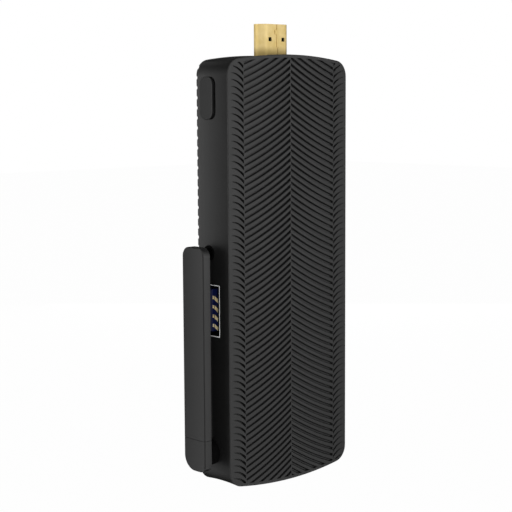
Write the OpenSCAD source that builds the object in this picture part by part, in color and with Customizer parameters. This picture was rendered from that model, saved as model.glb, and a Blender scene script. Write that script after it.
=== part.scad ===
// Stick computer that plugs straight into a display, with a flat antenna folded up along one side.
// The origin is on the axis of the display plug, where it leaves the top end of the case.
// X runs across the case, Y from the ribbed front towards the rear cover, Z out along the plug.

/* [Case] */
// Width of the case
case_w = 57.3; // [54:0.1:64]
// Height of the case between the crests of its end arcs
case_h = 150; // [145:0.5:165]
// Depth of the case at its side edges
case_d = 15.4; // [15:0.1:18]
// Rise of each end arc over the width of the case
end_rise = 2.5; // [1.5:0.1:4]
// Radius of the outline's corners
corner_r = 5.6; // [4:0.1:8]
// Rise of the front and rear faces from their side edges to the middle
crown = 0.7; // [0.4:0.05:1.2]
// Thickness of the side band's wall
wall = 1.8; // [1.4:0.1:2.2]
// Thickness of a cover plate at its edge, down to its inner face
cover_t = 1.8; // [1.6:0.1:2.2]
// Part of a cover's thickness that shows outside the side band
cover_edge = 1.2; // [0.8:0.1:1.4]

/* [Ribs] */
// Spacing of the front ribs down the face
rib_pitch = 2.27; // [2:0.01:3.5]
// Distance of the side bands of ribs from the middle
band_x = 21.6; // [18:0.1:23]
// Slope of the front ribs at the middle of the face
slope_mid = 0.605; // [0.4:0.005:0.8]
// Slope of the front ribs where they meet the side bands
slope_band = 0.357; // [0.2:0.005:0.5]
// Width of a front groove at the middle of the face
groove_w = 0.9; // [0.5:0.05:1.2]
// Width of a front groove at its thin end
groove_tip_w = 0.35; // [0.2:0.05:0.5]
// Depth of the grooves' floor behind the front edge
groove_sink = 0.15; // [0.05:0.05:0.4]
// Plain rim that the grooves leave round the front face
rib_rim = 1.1; // [0.8:0.1:2]
// Spacing of the grooves across the rear cover
rear_pitch = 3.4; // [2.8:0.1:5]
// Radius of the grooves across the rear cover
rear_groove_r = 0.7; // [0.4:0.05:0.9]
// Depth of the rear grooves at the edge
rear_groove_d = 0.5; // [0.3:0.05:0.7]

/* [Display plug] */
// Width of the plug's shell
plug_w = 13.9; // [13.8:0.05:14]
// Height of the plug's shell
plug_h = 4.45; // [4.4:0.05:4.55]
// Length of plug that stands out of the case
plug_len = 10.6; // [10:0.1:12]
// Length of plug inside the case
plug_root = 13; // [11:0.5:16]
// Thickness of the plug's shell
plug_t = 0.35; // [0.25:0.05:0.45]
// Distance of the plug's axis behind the middle of the case
plug_back = 0.75; // [0.5:0.05:1]

/* [Data port] */
// Distance of the port's middle below the top end
port_down = 87.3; // [84:0.1:92]
// Width of the port's shell, along the side of the case
port_w = 13.15; // [13:0.05:13.3]
// Height of the port's shell above the board
port_h = 5.72; // [5.6:0.02:5.8]
// Length of the port's flange along the side of the case
flange_w = 15.2; // [14.4:0.1:15.6]
// Width of the port's flange across the side of the case
flange_h = 7.6; // [7.2:0.1:7.8]
// Thickness of the port's sheet metal
port_t = 0.35; // [0.3:0.05:0.4]
// Depth of the port
port_depth = 14; // [12:0.5:15]

/* [Audio jack] */
// Distance of the jack below the top end
jack_down = 67.5; // [66:0.1:69]
// Distance of the jack's axis behind the plug's axis
jack_y = 2.05; // [1.8:0.05:2.2]
// Radius of the jack's bore
jack_bore_r = 1.8; // [1.76:0.01:1.85]
// Radius of the jack's nozzle
nozzle_r = 2.6; // [2.3:0.05:2.8]
// Depth of the jack's bore
jack_depth = 12; // [11:0.5:14]

/* [Power button] */
// Distance of the button's middle below the top end
button_down = 14.85; // [14:0.05:17]
// Length of the button
button_len = 14.1; // [10:0.1:14.5]
// Width of the button
button_w = 6.4; // [5:0.1:7]
// Distance of the button's middle behind the plug's axis
button_y = 1.6; // [1.3:0.05:1.8]
// Height of the button above the side of the case
button_proud = 0.5; // [0.4:0.05:0.8]
// Gap in front of the button
button_gap = 0.75; // [0.5:0.05:0.9]
// Travel of the button
button_travel = 0.4; // [0.2:0.05:0.5]

/* [Antenna] */
// Width of the antenna's flat paddle
ant_w = 10.9; // [9:0.1:12]
// Thickness of the paddle
ant_t = 3.4; // [3:0.1:4.5]
// Gap between the paddle and the side of the case
ant_gap = 4.3; // [2:0.1:6]
// Length of the paddle from the swivel's axis to its tip
ant_len = 72.25; // [60:0.25:78]
// Distance of the swivel's axis above the crest of the bottom end
swivel_up = 13.15; // [12:0.05:16]
// Distance of the swivel's axis behind the plug's axis
side_y = 1.45; // [1.2:0.05:1.7]
// Distance of the sleeve's seam from the swivel's axis
seam_up = 5.65; // [5.5:0.05:9]
// Radius of the corners at the tip
tip_r = 3; // [2:0.1:4]
// Wall of the sleeve
sleeve_t = 0.8; // [0.6:0.05:1]
// Radius of the swivel's hub
hub_r = 4.4; // [3.6:0.1:5]
// Radius of the swivel's shaft
shaft_r = 2.9; // [2.4:0.1:3.2]
// Radius of the coax lead
lead_r = 0.57; // [0.4:0.01:0.7]

/* [Power inlet] */
// Distance of the inlet's middle below the top end
inlet_down = 121; // [118:0.5:126]
// Length of the inlet's shell along the side of the case
inlet_w = 8.94; // [8.8:0.02:9]
// Height of the inlet's shell above the board
inlet_h = 3.26; // [3.2:0.02:3.3]
// Depth of the inlet
inlet_depth = 7.3; // [6.5:0.1:9]

/* [Inside] */
// Thickness of the main board
board_t = 1.2; // [0.8:0.1:1.4]
// Gap between the board and the side walls
board_gap = 1.65; // [1.5:0.05:2.5]
// Radius of the case's screw bosses
boss_r = 2.6; // [2.4:0.1:3]
// Radius of the screws' shanks
screw_r = 1; // [0.8:0.05:1.1]
// Radius of the screws' heads
screw_head_r = 1.8; // [1.6:0.05:1.9]
// Height of the screws' heads
screw_head_h = 1.2; // [0.8:0.1:1.3]
// Length of the processor
cpu_len = 28; // [20:1:35]
// Width of the processor
cpu_w = 22; // [16:1:26]
// Height of the processor on the board
cpu_h = 1.2; // [0.8:0.1:1.4]
// Thickness of the thermal pad
pad_t = 0.5; // [0.3:0.1:0.8]
// Width of the heat spreader
spreader_w = 36; // [28:1:37]
// Length of the heat spreader
spreader_len = 88; // [60:1:90]
// Radius of the clock cell
cell_r = 6.25; // [6:0.05:6.5]
// Thickness of the clock cell
cell_t = 2; // [1.6:0.1:2.5]
// Height of the radio module on the board
radio_h = 2.4; // [1.8:0.1:2.6]

/* [Hidden] */
$fn = 48;

// Clearances: a running fit, a loose fit, and how far a cut runs past a face
run_gap = 0.05;
fit_gap = 0.1;
past = 1;

// Case planes
side_x = case_w/2;
in_x = side_x - wall;
front_y = -plug_back - case_d/2;
rear_y = -plug_back + case_d/2;
front_seam = front_y + cover_edge;
rear_seam = rear_y - cover_edge;
front_in = front_y + cover_t;
rear_in = rear_y - cover_t;
land_inset = wall + fit_gap;

// Arcs of the outline: the ends, the corners, and the angle where they meet
end_r = (side_x*side_x + end_rise*end_rise)/(2*end_rise);
corner_x = side_x - corner_r;
corner_down = end_r - sqrt(pow(end_r - corner_r, 2) - corner_x*corner_x);
end_angle = asin(corner_x/(end_r - corner_r));

// Board planes: its rear face carries the plug, the ports and the switch
board_rear = -plug_h/2;
board_front = board_rear - board_t;
board_x = in_x - board_gap;

// Screw bosses stand against the end walls
top_boss_x = 20;
low_boss_x = 17;
boss_bite = 0.2;
seat_r = boss_r - boss_bite - 2*fit_gap;
screw_play = 0.1;
front_seat_h = 1.4;
rear_seat_h = 1.3;
head_seat_t = 1;
screw_bite = 0.75;
boss_front = front_in + front_seat_h;
boss_rear = rear_in - rear_seat_h;
head_floor = boss_rear + head_seat_t;
screw_tip = front_in - screw_bite;
boss_at = [[-top_boss_x, -boss_down(top_boss_x)], [top_boss_x, -boss_down(top_boss_x)],
           [-low_boss_x, boss_down(low_boss_x) - case_h], [low_boss_x, boss_down(low_boss_x) - case_h]];
board_play = 0.4;
board_top_z = boss_at[0].y - boss_r - board_play;
board_low_z = boss_at[2].y + boss_r + board_play;

// Board screws and the front cover's posts under them
post_r = 2.2;
post_x = 21.6;
post_high_z = -32;
post_low_z = -111;
post_at = [for (z = [post_high_z, post_low_z], x = [-post_x, post_x]) [x, z]];
board_screw_bite = 2.2;
board_screw_len = board_t + board_screw_bite;

// Data port: inner opening, tongue and its contacts
port_y = board_rear + port_h/2;
port_recess = 0.15;
flange_t = 0.45;
tongue_w = 11.1;
tongue_t = 1.84;
tongue_back = 0.64;
tongue_sink = 0.9;
port_block = 4;
port_mouth = -side_x + port_recess;
port_end = port_mouth + port_depth;
tongue_face = port_y + port_h/2 - port_t - tongue_back - tongue_t;
contact_t = 0.2;

// Audio jack block
jack_half = 3.1;
jack_top = 2.9;
jack_back_t = 0.8;
chamber_len = 1;
chamber_rim = 0.3;
chamber_r = jack_bore_r + chamber_rim;
jack_roof = min(jack_y + jack_top, rear_in - fit_gap);
nozzle_recess = 0.4;
nozzle_gap = 0.12;

// Power button: retaining tabs inside the wall, plunger and switch behind
tab_t = 0.7;
tab_w = 5;
tab_reach = 0.8;
tab_x = -in_x + run_gap;
plunger_show = 0.8;
switch_x = tab_x + tab_t + button_travel + plunger_show;
switch_len = 4;
switch_half = 3;
plunger_r = 0.9;
plunger_reach = 1.6;

// Antenna: paddle planes and the swivel
ant_in = -side_x - ant_gap;
ant_out = ant_in - ant_t;
ant_mid = (ant_in + ant_out)/2;
swivel_z = swivel_up - case_h;
seam_z = swivel_z + seam_up;
tip_z = swivel_z + ant_len;
spigot_len = 6;
key_r = 2.2;
key_len = 0.6;
washer_t = 0.5;
clip_t = 0.6;
clip_bite = 0.5;
clip_rim = 0.7;
clip_groove_r = shaft_r - clip_bite;
clip_r = shaft_r + clip_rim;
clip_x = -in_x + run_gap + washer_t + run_gap;
shaft_tail = 1.1;
shaft_end = clip_x + clip_t + shaft_tail;
lead_play = 0.4;
lead_bore_r = lead_r + lead_play;
lead_bend = 2;
strip_lap = 3;
lead_top_z = seam_z + spigot_len + strip_lap;
element_w = 7.5;
element_t = 0.3;

// Radio module and the lead that reaches it from the swivel
radio_x = -12;
radio_w = 12;
radio_len = 16;
radio_up = 20;
radio_z = swivel_z + radio_up;
radio_plug_r = 1.6;
radio_plug_edge = 1;
radio_plug_cap = 0.4;
radio_plug_h = side_y + lead_r + radio_plug_cap - (board_rear + radio_h);
radio_plug_x = radio_x - radio_w/2 + radio_plug_r + radio_plug_edge;
radio_bend = 4;
radio_plug_z = radio_z - radio_len/2 + radio_plug_r + radio_plug_edge;

// Power inlet
inlet_y = board_rear + inlet_h/2;
inlet_t = 0.3;
inlet_recess = 0.15;
inlet_mouth = side_x - inlet_recess;
inlet_tongue_t = 0.7;
inlet_tongue_w = 6.7;
inlet_block = 2;
inlet_tongue_sink = 0.6;
inlet_contact_sink = 1.2;

// Colours
charcoal = "#3d3d3f";
black = "#1b1b1c";
gold = "#d8bf78";
steel = "#b9bcc0";
board_green = "#1f4d38";
chip_black = "#232326";

// Depth of the end wall's inner face below the crest, at a distance from the middle
function inner_drop(x) = end_r - sqrt(pow(end_r - wall, 2) - x*x);
function boss_down(x) = inner_drop(x) + boss_r - boss_bite;

// Points along an arc, leaving out some at each end where another arc has them
function arc(c, r, a0, a1, n, trim = 0) =
    [for (i = [trim:n - trim]) let (a = a0 + (a1 - a0)*i/n) c + r*[cos(a), sin(a)]];

// Outline of the case seen from the front, drawn in by an inset
function outline(inset) =
    let (r = corner_r - inset, low = -case_h, steps = 10)
    concat(
        arc([corner_x, -corner_down], r, 0, 90 - end_angle, steps),
        arc([0, -end_r], end_r - inset, 90 - end_angle, 90 + end_angle, 2*steps, 1),
        arc([-corner_x, -corner_down], r, 90 + end_angle, 180, steps),
        arc([-corner_x, low + corner_down], r, 180, 270 - end_angle, steps),
        arc([0, low + end_r], end_r - inset, 270 - end_angle, 270 + end_angle, 2*steps, 1),
        arc([corner_x, low + corner_down], r, 270 + end_angle, 360, steps));

// Section of the plug, drawn in by an inset: wide at the rear, with slanted front corners
plug_front_w = 10;
plug_straight = 1.87;
plug_lean = (plug_w - plug_front_w)/2/(plug_h - plug_straight);
function plug_outline(inset) =
    let (hw = plug_w/2 - inset, hh = plug_h/2 - inset, bevel = 0.5,
         shift = inset*sqrt(1 + plug_lean*plug_lean),
         foot_x = plug_front_w/2 + plug_lean*inset - shift,
         knee_y = -plug_h/2 + (hw - plug_front_w/2 + shift)/plug_lean)
    [[-hw + bevel, hh], [hw - bevel, hh], [hw, hh - bevel], [hw, knee_y],
     [foot_x, -hh], [-foot_x, -hh], [-hw, knee_y], [-hw, hh - bevel]];

// Drop of a front groove below its end at the middle of the face
field_bend = (slope_mid - slope_band)/(2*band_x);
function field_drop(u) = slope_mid*u - field_bend*u*u;
// Rise of a side band's groove outwards from the band's inner edge
band_slope = 0.95;
band_slope_out = 0.05;
band_w = side_x - rib_rim - band_x;
function band_rise(v) = band_slope*v - (band_slope - band_slope_out)*v*v/(2*band_w);
// Distance from the middle at which a groove has dropped by q against an end arc bending the same way
// (bend over 0) or the other way (bend under 0)
function reach(q, bend) = 2*q/(slope_mid + sqrt(max(0, pow(slope_mid, 2) - 4*(field_bend + bend)*q)));

// Solid between two depths, from a shape drawn in the front view
module slab(y0, y1) {
    translate([0, y1, 0]) rotate([90, 0, 0]) linear_extrude(y1 - y0) children();
}

// Solid between two places across the case, from a shape drawn in the side view
module side_slab(x0, x1) {
    translate([x0, 0, 0]) rotate([90, 0, 90]) linear_extrude(x1 - x0) children();
}

// Round bar along X and round bar along Y
module bar_x(x0, x1, y, z, r) {
    translate([x0, y, z]) rotate([0, 90, 0]) cylinder(h = x1 - x0, r = r);
}

module bar_y(x, y0, y1, z, r) {
    translate([x, y0, z]) rotate([-90, 0, 0]) cylinder(h = y1 - y0, r = r);
}

module box(lo, hi) {
    translate(lo) cube(hi - lo);
}

// Long round-ended bar through the side of the case
module capsule_x(x0, x1, y, z, len, w) {
    half = (len - w)/2;
    box([x0, y - w/2, z - half], [x1, y + w/2, z + half]);
    for (s = [-1, 1]) bar_x(x0, x1, y, z + s*half, w/2);
}

// Groove of tapering width along a curve, cut from in front of the face down to the grooves' floor
module groove(pts) {
    n = len(pts) - 1;
    half = [for (i = [0:n]) (groove_w + (groove_tip_w - groove_w)*i/n)/2];
    slab(front_y - crown - past, front_y + groove_sink)
        polygon(concat([for (i = [0:n]) pts[i] + [0, half[i]]],
                       [for (i = [n:-1:0]) pts[i] - [0, half[i]]]));
}

spine_gap = 0.25;
first_groove = 0.45;
groove_steps = 2;
least_groove = 1;

// Field groove on the right half, from the middle out to the side band, kept inside the plain rim
module field_groove(z) {
    margin = rib_rim + groove_w/2;
    from = z + margin > 0 ? reach(z + margin, 1/(2*end_r)) : 0;
    to = reach(z + case_h - margin, -1/(2*end_r));
    u0 = max(spine_gap, from);
    u1 = min(band_x - spine_gap, to);
    if (z + case_h > margin && u1 - u0 > least_groove)
        groove([for (i = [0:groove_steps]) let (u = u0 + (u1 - u0)*i/groove_steps) [u, z - field_drop(u)]]);
}

// Side band's groove on the right half, kept inside the rim round the corners
module band_groove(z) {
    r = corner_r - rib_rim;
    mid_z = z + band_rise(band_w/2);
    over = max(0, mid_z + corner_down, corner_down - case_h - z);
    v1 = min(band_w, corner_x - band_x + sqrt(max(0, r*r - over*over)));
    if (over < r && v1 - spine_gap > least_groove)
        groove([for (i = [0:groove_steps]) let (v = spine_gap + (v1 - spine_gap)*i/groove_steps)
                [band_x + v, z + band_rise(v)]]);
}

// Herringbone of grooves, staggered by half a step between the two halves and at the side bands
module rib_grooves() {
    first = -ceil(field_drop(band_x)/rib_pitch);
    last = floor(case_h/rib_pitch);
    for (i = [first:last], half = [0, 1]) mirror([half, 0, 0]) {
        z = -(i + first_groove + half/2)*rib_pitch;
        field_groove(z);
        band_groove(z - field_drop(band_x) + rib_pitch/2);
    }
}

// Roof section across a cover, from its edge at one depth to its ridge and down to its seam
module roof(edge_y, ridge_y, seam_y) {
    translate([0, 0, -case_h - past]) linear_extrude(case_h + 2*past)
        polygon([[-side_x, seam_y], [-side_x, edge_y], [0, ridge_y], [side_x, edge_y], [side_x, seam_y]]);
}

// Plate with a raised outer face and a land that fits inside the side band
module front_plate() {
    intersection() {
        slab(front_y - crown, front_seam) polygon(outline(0));
        roof(front_y, front_y - crown, front_seam);
    }
    slab(front_seam, front_in) polygon(outline(land_inset));
}

module rear_plate() {
    intersection() {
        slab(rear_seam, rear_y + crown) polygon(outline(0));
        roof(rear_y, rear_y + crown, rear_seam);
    }
    slab(rear_in, rear_seam) polygon(outline(land_inset));
}

module front_cover() {
    color(charcoal) difference() {
        union() {
            front_plate();
            for (p = boss_at) bar_y(p.x, front_in - past/2, boss_front, p.y, seat_r);
            for (p = post_at) bar_y(p.x, front_in - past/2, board_front, p.y, post_r);
        }
        rib_grooves();
        for (p = boss_at) bar_y(p.x, screw_tip, boss_front + past, p.y, screw_r);
        for (p = post_at) bar_y(p.x, board_rear - board_screw_len, board_front + past, p.y, screw_r);
    }
}

// Side band with its screw bosses and the openings for the plug, ports, button and swivel
module mid_frame() {
    color(charcoal) difference() {
        union() {
            slab(front_seam, rear_seam) difference() {
                polygon(outline(0));
                polygon(outline(wall));
            }
            for (p = boss_at) bar_y(p.x, boss_front, boss_rear, p.y, boss_r);
        }
        for (p = boss_at) bar_y(p.x, boss_front - past, boss_rear + past, p.y, screw_r + screw_play);
        translate([0, 0, -2*wall]) linear_extrude(3*wall) polygon(plug_outline(-fit_gap));
        capsule_x(-side_x - past, -in_x + past, button_y - (button_gap - run_gap)/2, -button_down,
                  button_len + button_gap + run_gap, button_w + button_gap + run_gap);
        bar_x(-side_x - past, -in_x + past, jack_y, -jack_down, nozzle_r + nozzle_gap);
        box([-side_x - past, port_y - flange_h/2 - fit_gap, -port_down - flange_w/2 - fit_gap],
            [-in_x + past, port_y + flange_h/2 + fit_gap, -port_down + flange_w/2 + fit_gap]);
        bar_x(-side_x - past, -in_x + past, side_y, swivel_z, shaft_r + run_gap);
        capsule_x(in_x - past, side_x + past, inlet_y, -inlet_down, inlet_w + 2*fit_gap, inlet_h + 2*fit_gap);
    }
}

// Round groove across the rear face, of even depth down both slopes from the ridge
module rear_groove(z) {
    tilt = atan(crown/side_x);
    axis_y = rear_y + crown - rear_groove_d + rear_groove_r;
    for (half = [0, 1]) mirror([half, 0, 0]) translate([0, axis_y, z]) rotate([0, 0, -tilt])
        bar_x(-past, side_x + past, 0, 0, rear_groove_r);
}

module rear_cover() {
    color(charcoal) difference() {
        union() {
            rear_plate();
            for (p = boss_at) bar_y(p.x, boss_rear, rear_in + past/2, p.y, seat_r);
        }
        for (i = [1:floor(case_h/rear_pitch) - 1]) rear_groove(-i*rear_pitch);
        for (p = boss_at) {
            bar_y(p.x, boss_rear - past, rear_y, p.y, screw_r + screw_play);
            bar_y(p.x, head_floor, rear_y + crown + past, p.y, screw_head_r + screw_play);
        }
    }
}

// Screw that points towards the front, with a cross recess in its head
module screw(x, z, seat_y, len) {
    cross_w = 0.5;
    cross_share = 0.6;
    cross_half = screw_head_r*cross_share;
    cross_d = screw_head_h*cross_share;
    top = seat_y + screw_head_h;
    difference() {
        union() {
            bar_y(x, seat_y - len, seat_y, z, screw_r);
            bar_y(x, seat_y, top, z, screw_head_r);
        }
        box([x - cross_half, top - cross_d, z - cross_w/2], [x + cross_half, top + past, z + cross_w/2]);
        box([x - cross_w/2, top - cross_d, z - cross_half], [x + cross_w/2, top + past, z + cross_half]);
    }
}

module case_screws() {
    color(steel) for (p = boss_at) screw(p.x, p.y, head_floor, head_floor - screw_tip);
}

module mainboard() {
    color(board_green) difference() {
        box([-board_x, board_front, board_low_z], [board_x, board_rear, board_top_z]);
        for (p = post_at) bar_y(p.x, board_front - past, board_rear + past, p.y, screw_r + screw_play);
    }
}

module board_screws() {
    color(steel) for (p = post_at) screw(p.x, p.y, board_rear, board_screw_len);
}

// Chip on the front face of the board, and chip on its rear face
module front_chip(x, z, w, len, h) {
    box([x - w/2, board_front - h, z - len/2], [x + w/2, board_front, z + len/2]);
}

module rear_chip(x, z, w, len, h) {
    box([x - w/2, board_rear, z - len/2], [x + w/2, board_rear + h, z + len/2]);
}

cpu_z = -52;
spreader_z = -70;

// Package with its bare die on top
module processor() {
    die_h = 0.3;
    color(chip_black) front_chip(0, cpu_z, cpu_w, cpu_len, cpu_h - die_h);
    color(steel) translate([0, die_h - cpu_h, 0]) front_chip(0, cpu_z, cpu_w/2, cpu_len/2, die_h);
}

module thermal_pad() {
    color("#9aa4ad") translate([0, -cpu_h, 0]) front_chip(0, cpu_z, cpu_w, cpu_len, pad_t);
}

// Metal plate between the pad and the front cover
module heat_spreader() {
    color("#c3c6c9")
        box([-spreader_w/2, front_in, spreader_z - spreader_len/2],
            [spreader_w/2, board_front - cpu_h - pad_t, spreader_z + spreader_len/2]);
}

// Memory in two rows below the processor
module memory_chips() {
    memory_w = 10;
    memory_len = 11;
    memory_h = 1;
    memory_x = 6.5;
    memory_top_z = -78;
    memory_pitch = 14;
    color(chip_black)
        for (x = [-memory_x, memory_x], i = [0, 1])
            front_chip(x, memory_top_z - i*memory_pitch, memory_w, memory_len, memory_h);
}

module storage_chip() {
    storage_w = 11.5;
    storage_len = 13;
    storage_h = 1;
    storage_x = 4;
    storage_z = -62;
    color(chip_black) rear_chip(storage_x, storage_z, storage_w, storage_len, storage_h);
}

// Power parts stand in one column beside the data port
power_x = 9;

module power_chip() {
    regulator_w = 7;
    regulator_h = 0.9;
    regulator_z = -108;
    color(chip_black) rear_chip(power_x, regulator_z, regulator_w, regulator_w, regulator_h);
}

module power_chokes() {
    choke_w = 6.2;
    choke_h = 3;
    choke_top_z = -82;
    choke_pitch = 8;
    color("#4a4a4c")
        for (i = [0:2]) rear_chip(power_x, choke_top_z - i*choke_pitch, choke_w, choke_w, choke_h);
}

module radio_module() {
    color(steel) rear_chip(radio_x, radio_z, radio_w, radio_len, radio_h);
}

// Coax lead from the swivel's axis to its small plug on the radio module
module radio_lead() {
    turn_x = radio_plug_x - radio_bend;
    color(black) {
        bar_x(shaft_end, turn_x, side_y, swivel_z, lead_r);
        translate([turn_x, side_y, swivel_z + radio_bend]) rotate([90, 0, 0])
            rotate([0, 0, -90]) rotate_extrude(angle = 90) translate([radio_bend, 0]) circle(lead_r);
        translate([radio_plug_x, side_y, swivel_z + radio_bend])
            cylinder(h = radio_plug_z - swivel_z - radio_bend, r = lead_r);
        bar_y(radio_plug_x, board_rear + radio_h, board_rear + radio_h + radio_plug_h,
              radio_plug_z, radio_plug_r);
    }
}

cell_x = 12;
cell_z = -34;
holder_t = 0.9;
holder_floor = 0.8;

module clock_cell() {
    color(steel) bar_y(cell_x, board_rear + holder_floor, board_rear + holder_floor + cell_t, cell_z, cell_r);
}

// Cup that holds the cell, open on its rear face
module cell_holder() {
    grip = 0.7;
    color(black) difference() {
        bar_y(cell_x, board_rear, board_rear + holder_floor + cell_t*grip, cell_z,
              cell_r + fit_gap + holder_t);
        bar_y(cell_x, board_rear + holder_floor, rear_y, cell_z, cell_r + fit_gap);
    }
}

latch_x = 3.1;
latch_w = 1.5;
latch_h = 1.3;
latch_down = 5.2;

// Plug's metal shell with a pair of latch holes in each wide face
module plug_shell() {
    latch_z = plug_len - latch_down;
    color(gold) difference() {
        translate([0, 0, -plug_root]) linear_extrude(plug_root + plug_len) difference() {
            polygon(plug_outline(0));
            polygon(plug_outline(plug_t));
        }
        for (x = [-latch_x, latch_x])
            box([x - latch_w/2, -plug_h, latch_z - latch_h/2], [x + latch_w/2, plug_h, latch_z + latch_h/2]);
    }
}

slot_w = 11.4;
slot_h = 2;
slot_depth = 8.4;
lip = 0.5;

// Insulator with the slot that takes a socket's tongue
module plug_insulator() {
    top = plug_len - lip;
    color(black) difference() {
        translate([0, 0, -plug_root]) linear_extrude(plug_root + top) polygon(plug_outline(plug_t));
        box([-slot_w/2, -slot_h/2, top - slot_depth], [slot_w/2, slot_h/2, top + past]);
    }
}

// Two rows of contact strips on the walls of the slot
module plug_contacts() {
    strip_w = 0.45;
    pitch = 1;
    low = plug_len - lip - slot_depth;
    set_back = 1;
    high = plug_len - lip - set_back;
    color(gold) {
        for (i = [0:9])
            box([(i - 4.5)*pitch - strip_w/2, slot_h/2 - contact_t, low],
                [(i - 4.5)*pitch + strip_w/2, slot_h/2, high]);
        for (i = [0:8])
            box([(i - 4)*pitch - strip_w/2, -slot_h/2, low],
                [(i - 4)*pitch + strip_w/2, contact_t - slot_h/2, high]);
    }
}

// Port's metal shell: a flange in the side of the case and a box that stands on the board
module port_shell() {
    color(steel) difference() {
        union() {
            box([port_mouth, port_y - flange_h/2, -port_down - flange_w/2],
                [port_mouth + flange_t, port_y + flange_h/2, -port_down + flange_w/2]);
            box([port_mouth, port_y - port_h/2, -port_down - port_w/2],
                [port_end, port_y + port_h/2, -port_down + port_w/2]);
        }
        box([port_mouth - past, port_y - port_h/2 + port_t, -port_down - port_w/2 + port_t],
            [port_end - port_t, port_y + port_h/2 - port_t, -port_down + port_w/2 - port_t]);
    }
}

// Insulator: a block at the back of the port and the tongue that stands out of it
module port_tongue() {
    back = port_end - port_t;
    color("#16235a") {
        box([back - port_block, port_y - port_h/2 + port_t, -port_down - port_w/2 + port_t],
            [back, port_y + port_h/2 - port_t, -port_down + port_w/2 - port_t]);
        box([port_mouth + tongue_sink, tongue_face, -port_down - tongue_w/2],
            [back - port_block, tongue_face + tongue_t, -port_down + tongue_w/2]);
    }
}

// Four long contacts on the tongue, with five short ones between them near its tip
module port_contacts() {
    long_w = 1;
    long_inner = 1;
    long_outer = 3.5;
    long_at = [-long_outer, -long_inner, long_inner, long_outer];
    long_start = 2.2;
    short_w = 0.6;
    short_pitch = 2;
    short_start = 0.4;
    short_end = 1.8;
    tip = port_mouth + tongue_sink;
    back = port_end - port_t - port_block;
    color(gold) {
        for (z = long_at)
            box([tip + long_start, tongue_face - contact_t, -port_down + z - long_w/2],
                [back, tongue_face, -port_down + z + long_w/2]);
        for (i = [-2:2])
            box([tip + short_start, tongue_face - contact_t, -port_down + i*short_pitch - short_w/2],
                [tip + short_end, tongue_face, -port_down + i*short_pitch + short_w/2]);
    }
}

// Jack's block on the board, with a nozzle through the side of the case and a wider chamber behind its bore
module audio_jack() {
    mouth = -side_x + nozzle_recess;
    color(black) difference() {
        union() {
            bar_x(mouth, -in_x + past, jack_y, -jack_down, nozzle_r);
            box([-in_x + fit_gap, board_rear, -jack_down - jack_half],
                [mouth + jack_depth + chamber_len + jack_back_t, jack_roof, -jack_down + jack_half]);
        }
        bar_x(mouth - past, mouth + jack_depth, jack_y, -jack_down, jack_bore_r);
        bar_x(mouth + jack_depth, mouth + jack_depth + chamber_len, jack_y, -jack_down, chamber_r);
    }
}

// Button cap with a tab at each end that keeps it behind the wall
module power_button() {
    color(charcoal) {
        capsule_x(-side_x - button_proud, tab_x + tab_t, button_y, -button_down, button_len, button_w);
        box([tab_x, button_y - tab_w/2, -button_down - button_len/2 - tab_reach],
            [tab_x + tab_t, button_y + tab_w/2, -button_down + button_len/2 + tab_reach]);
    }
}

module button_switch() {
    color(black) difference() {
        box([switch_x, board_rear, -button_down - switch_half],
            [switch_x + switch_len, button_y + switch_half/2, -button_down + switch_half]);
        bar_x(switch_x - past, switch_x + plunger_reach + button_travel + fit_gap, button_y, -button_down,
              plunger_r + run_gap);
    }
}

module switch_plunger() {
    color("#d9d6cf") bar_x(tab_x + tab_t, switch_x + plunger_reach, button_y, -button_down, plunger_r);
}

module inlet_shell() {
    color(steel) difference() {
        capsule_x(inlet_mouth - inlet_depth, inlet_mouth, inlet_y, -inlet_down, inlet_w, inlet_h);
        capsule_x(inlet_mouth - inlet_depth + inlet_t, inlet_mouth + past, inlet_y, -inlet_down,
                  inlet_w - 2*inlet_t, inlet_h - 2*inlet_t);
    }
}

module inlet_tongue() {
    back = inlet_mouth - inlet_depth + inlet_t;
    color(black) {
        capsule_x(back, back + inlet_block, inlet_y, -inlet_down, inlet_w - 2*inlet_t, inlet_h - 2*inlet_t);
        box([back + inlet_block, inlet_y - inlet_tongue_t/2, -inlet_down - inlet_tongue_w/2],
            [inlet_mouth - inlet_tongue_sink, inlet_y + inlet_tongue_t/2, -inlet_down + inlet_tongue_w/2]);
    }
}

// Row of contacts on each face of the inlet's tongue
module inlet_contacts() {
    pitch = 0.5;
    strip_w = 0.25;
    strip_t = 0.1;
    back = inlet_mouth - inlet_depth + inlet_t + inlet_block;
    color(gold) for (side = [-1, 1], i = [0:11])
        translate([0, inlet_y + side*(inlet_tongue_t + strip_t)/2, -inlet_down + (i - 5.5)*pitch])
            box([back, -strip_t/2, -strip_w/2], [inlet_mouth - inlet_contact_sink, strip_t/2, strip_w/2]);
}

// Paddle seen from the side, drawn in by an inset, with round corners at its tip
function paddle(inset) =
    let (h = ant_w/2 - inset, r = tip_r - inset, c = ant_w/2 - tip_r, top = tip_z - tip_r, steps = 8)
    concat([[side_y - h, seam_z], [side_y + h, seam_z]],
           arc([side_y + c, top], r, 0, 90, steps), arc([side_y - c, top], r, 90, 180, steps));

// Hollow sleeve, open at its seam
module antenna_sleeve() {
    color(charcoal) difference() {
        side_slab(ant_out, ant_in) polygon(paddle(0));
        side_slab(ant_out + sleeve_t, ant_in - sleeve_t) union() {
            polygon(paddle(sleeve_t));
            translate([side_y - ant_w/2 + sleeve_t, seam_z - past]) square([ant_w - 2*sleeve_t, 2*past]);
        }
    }
}

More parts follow.
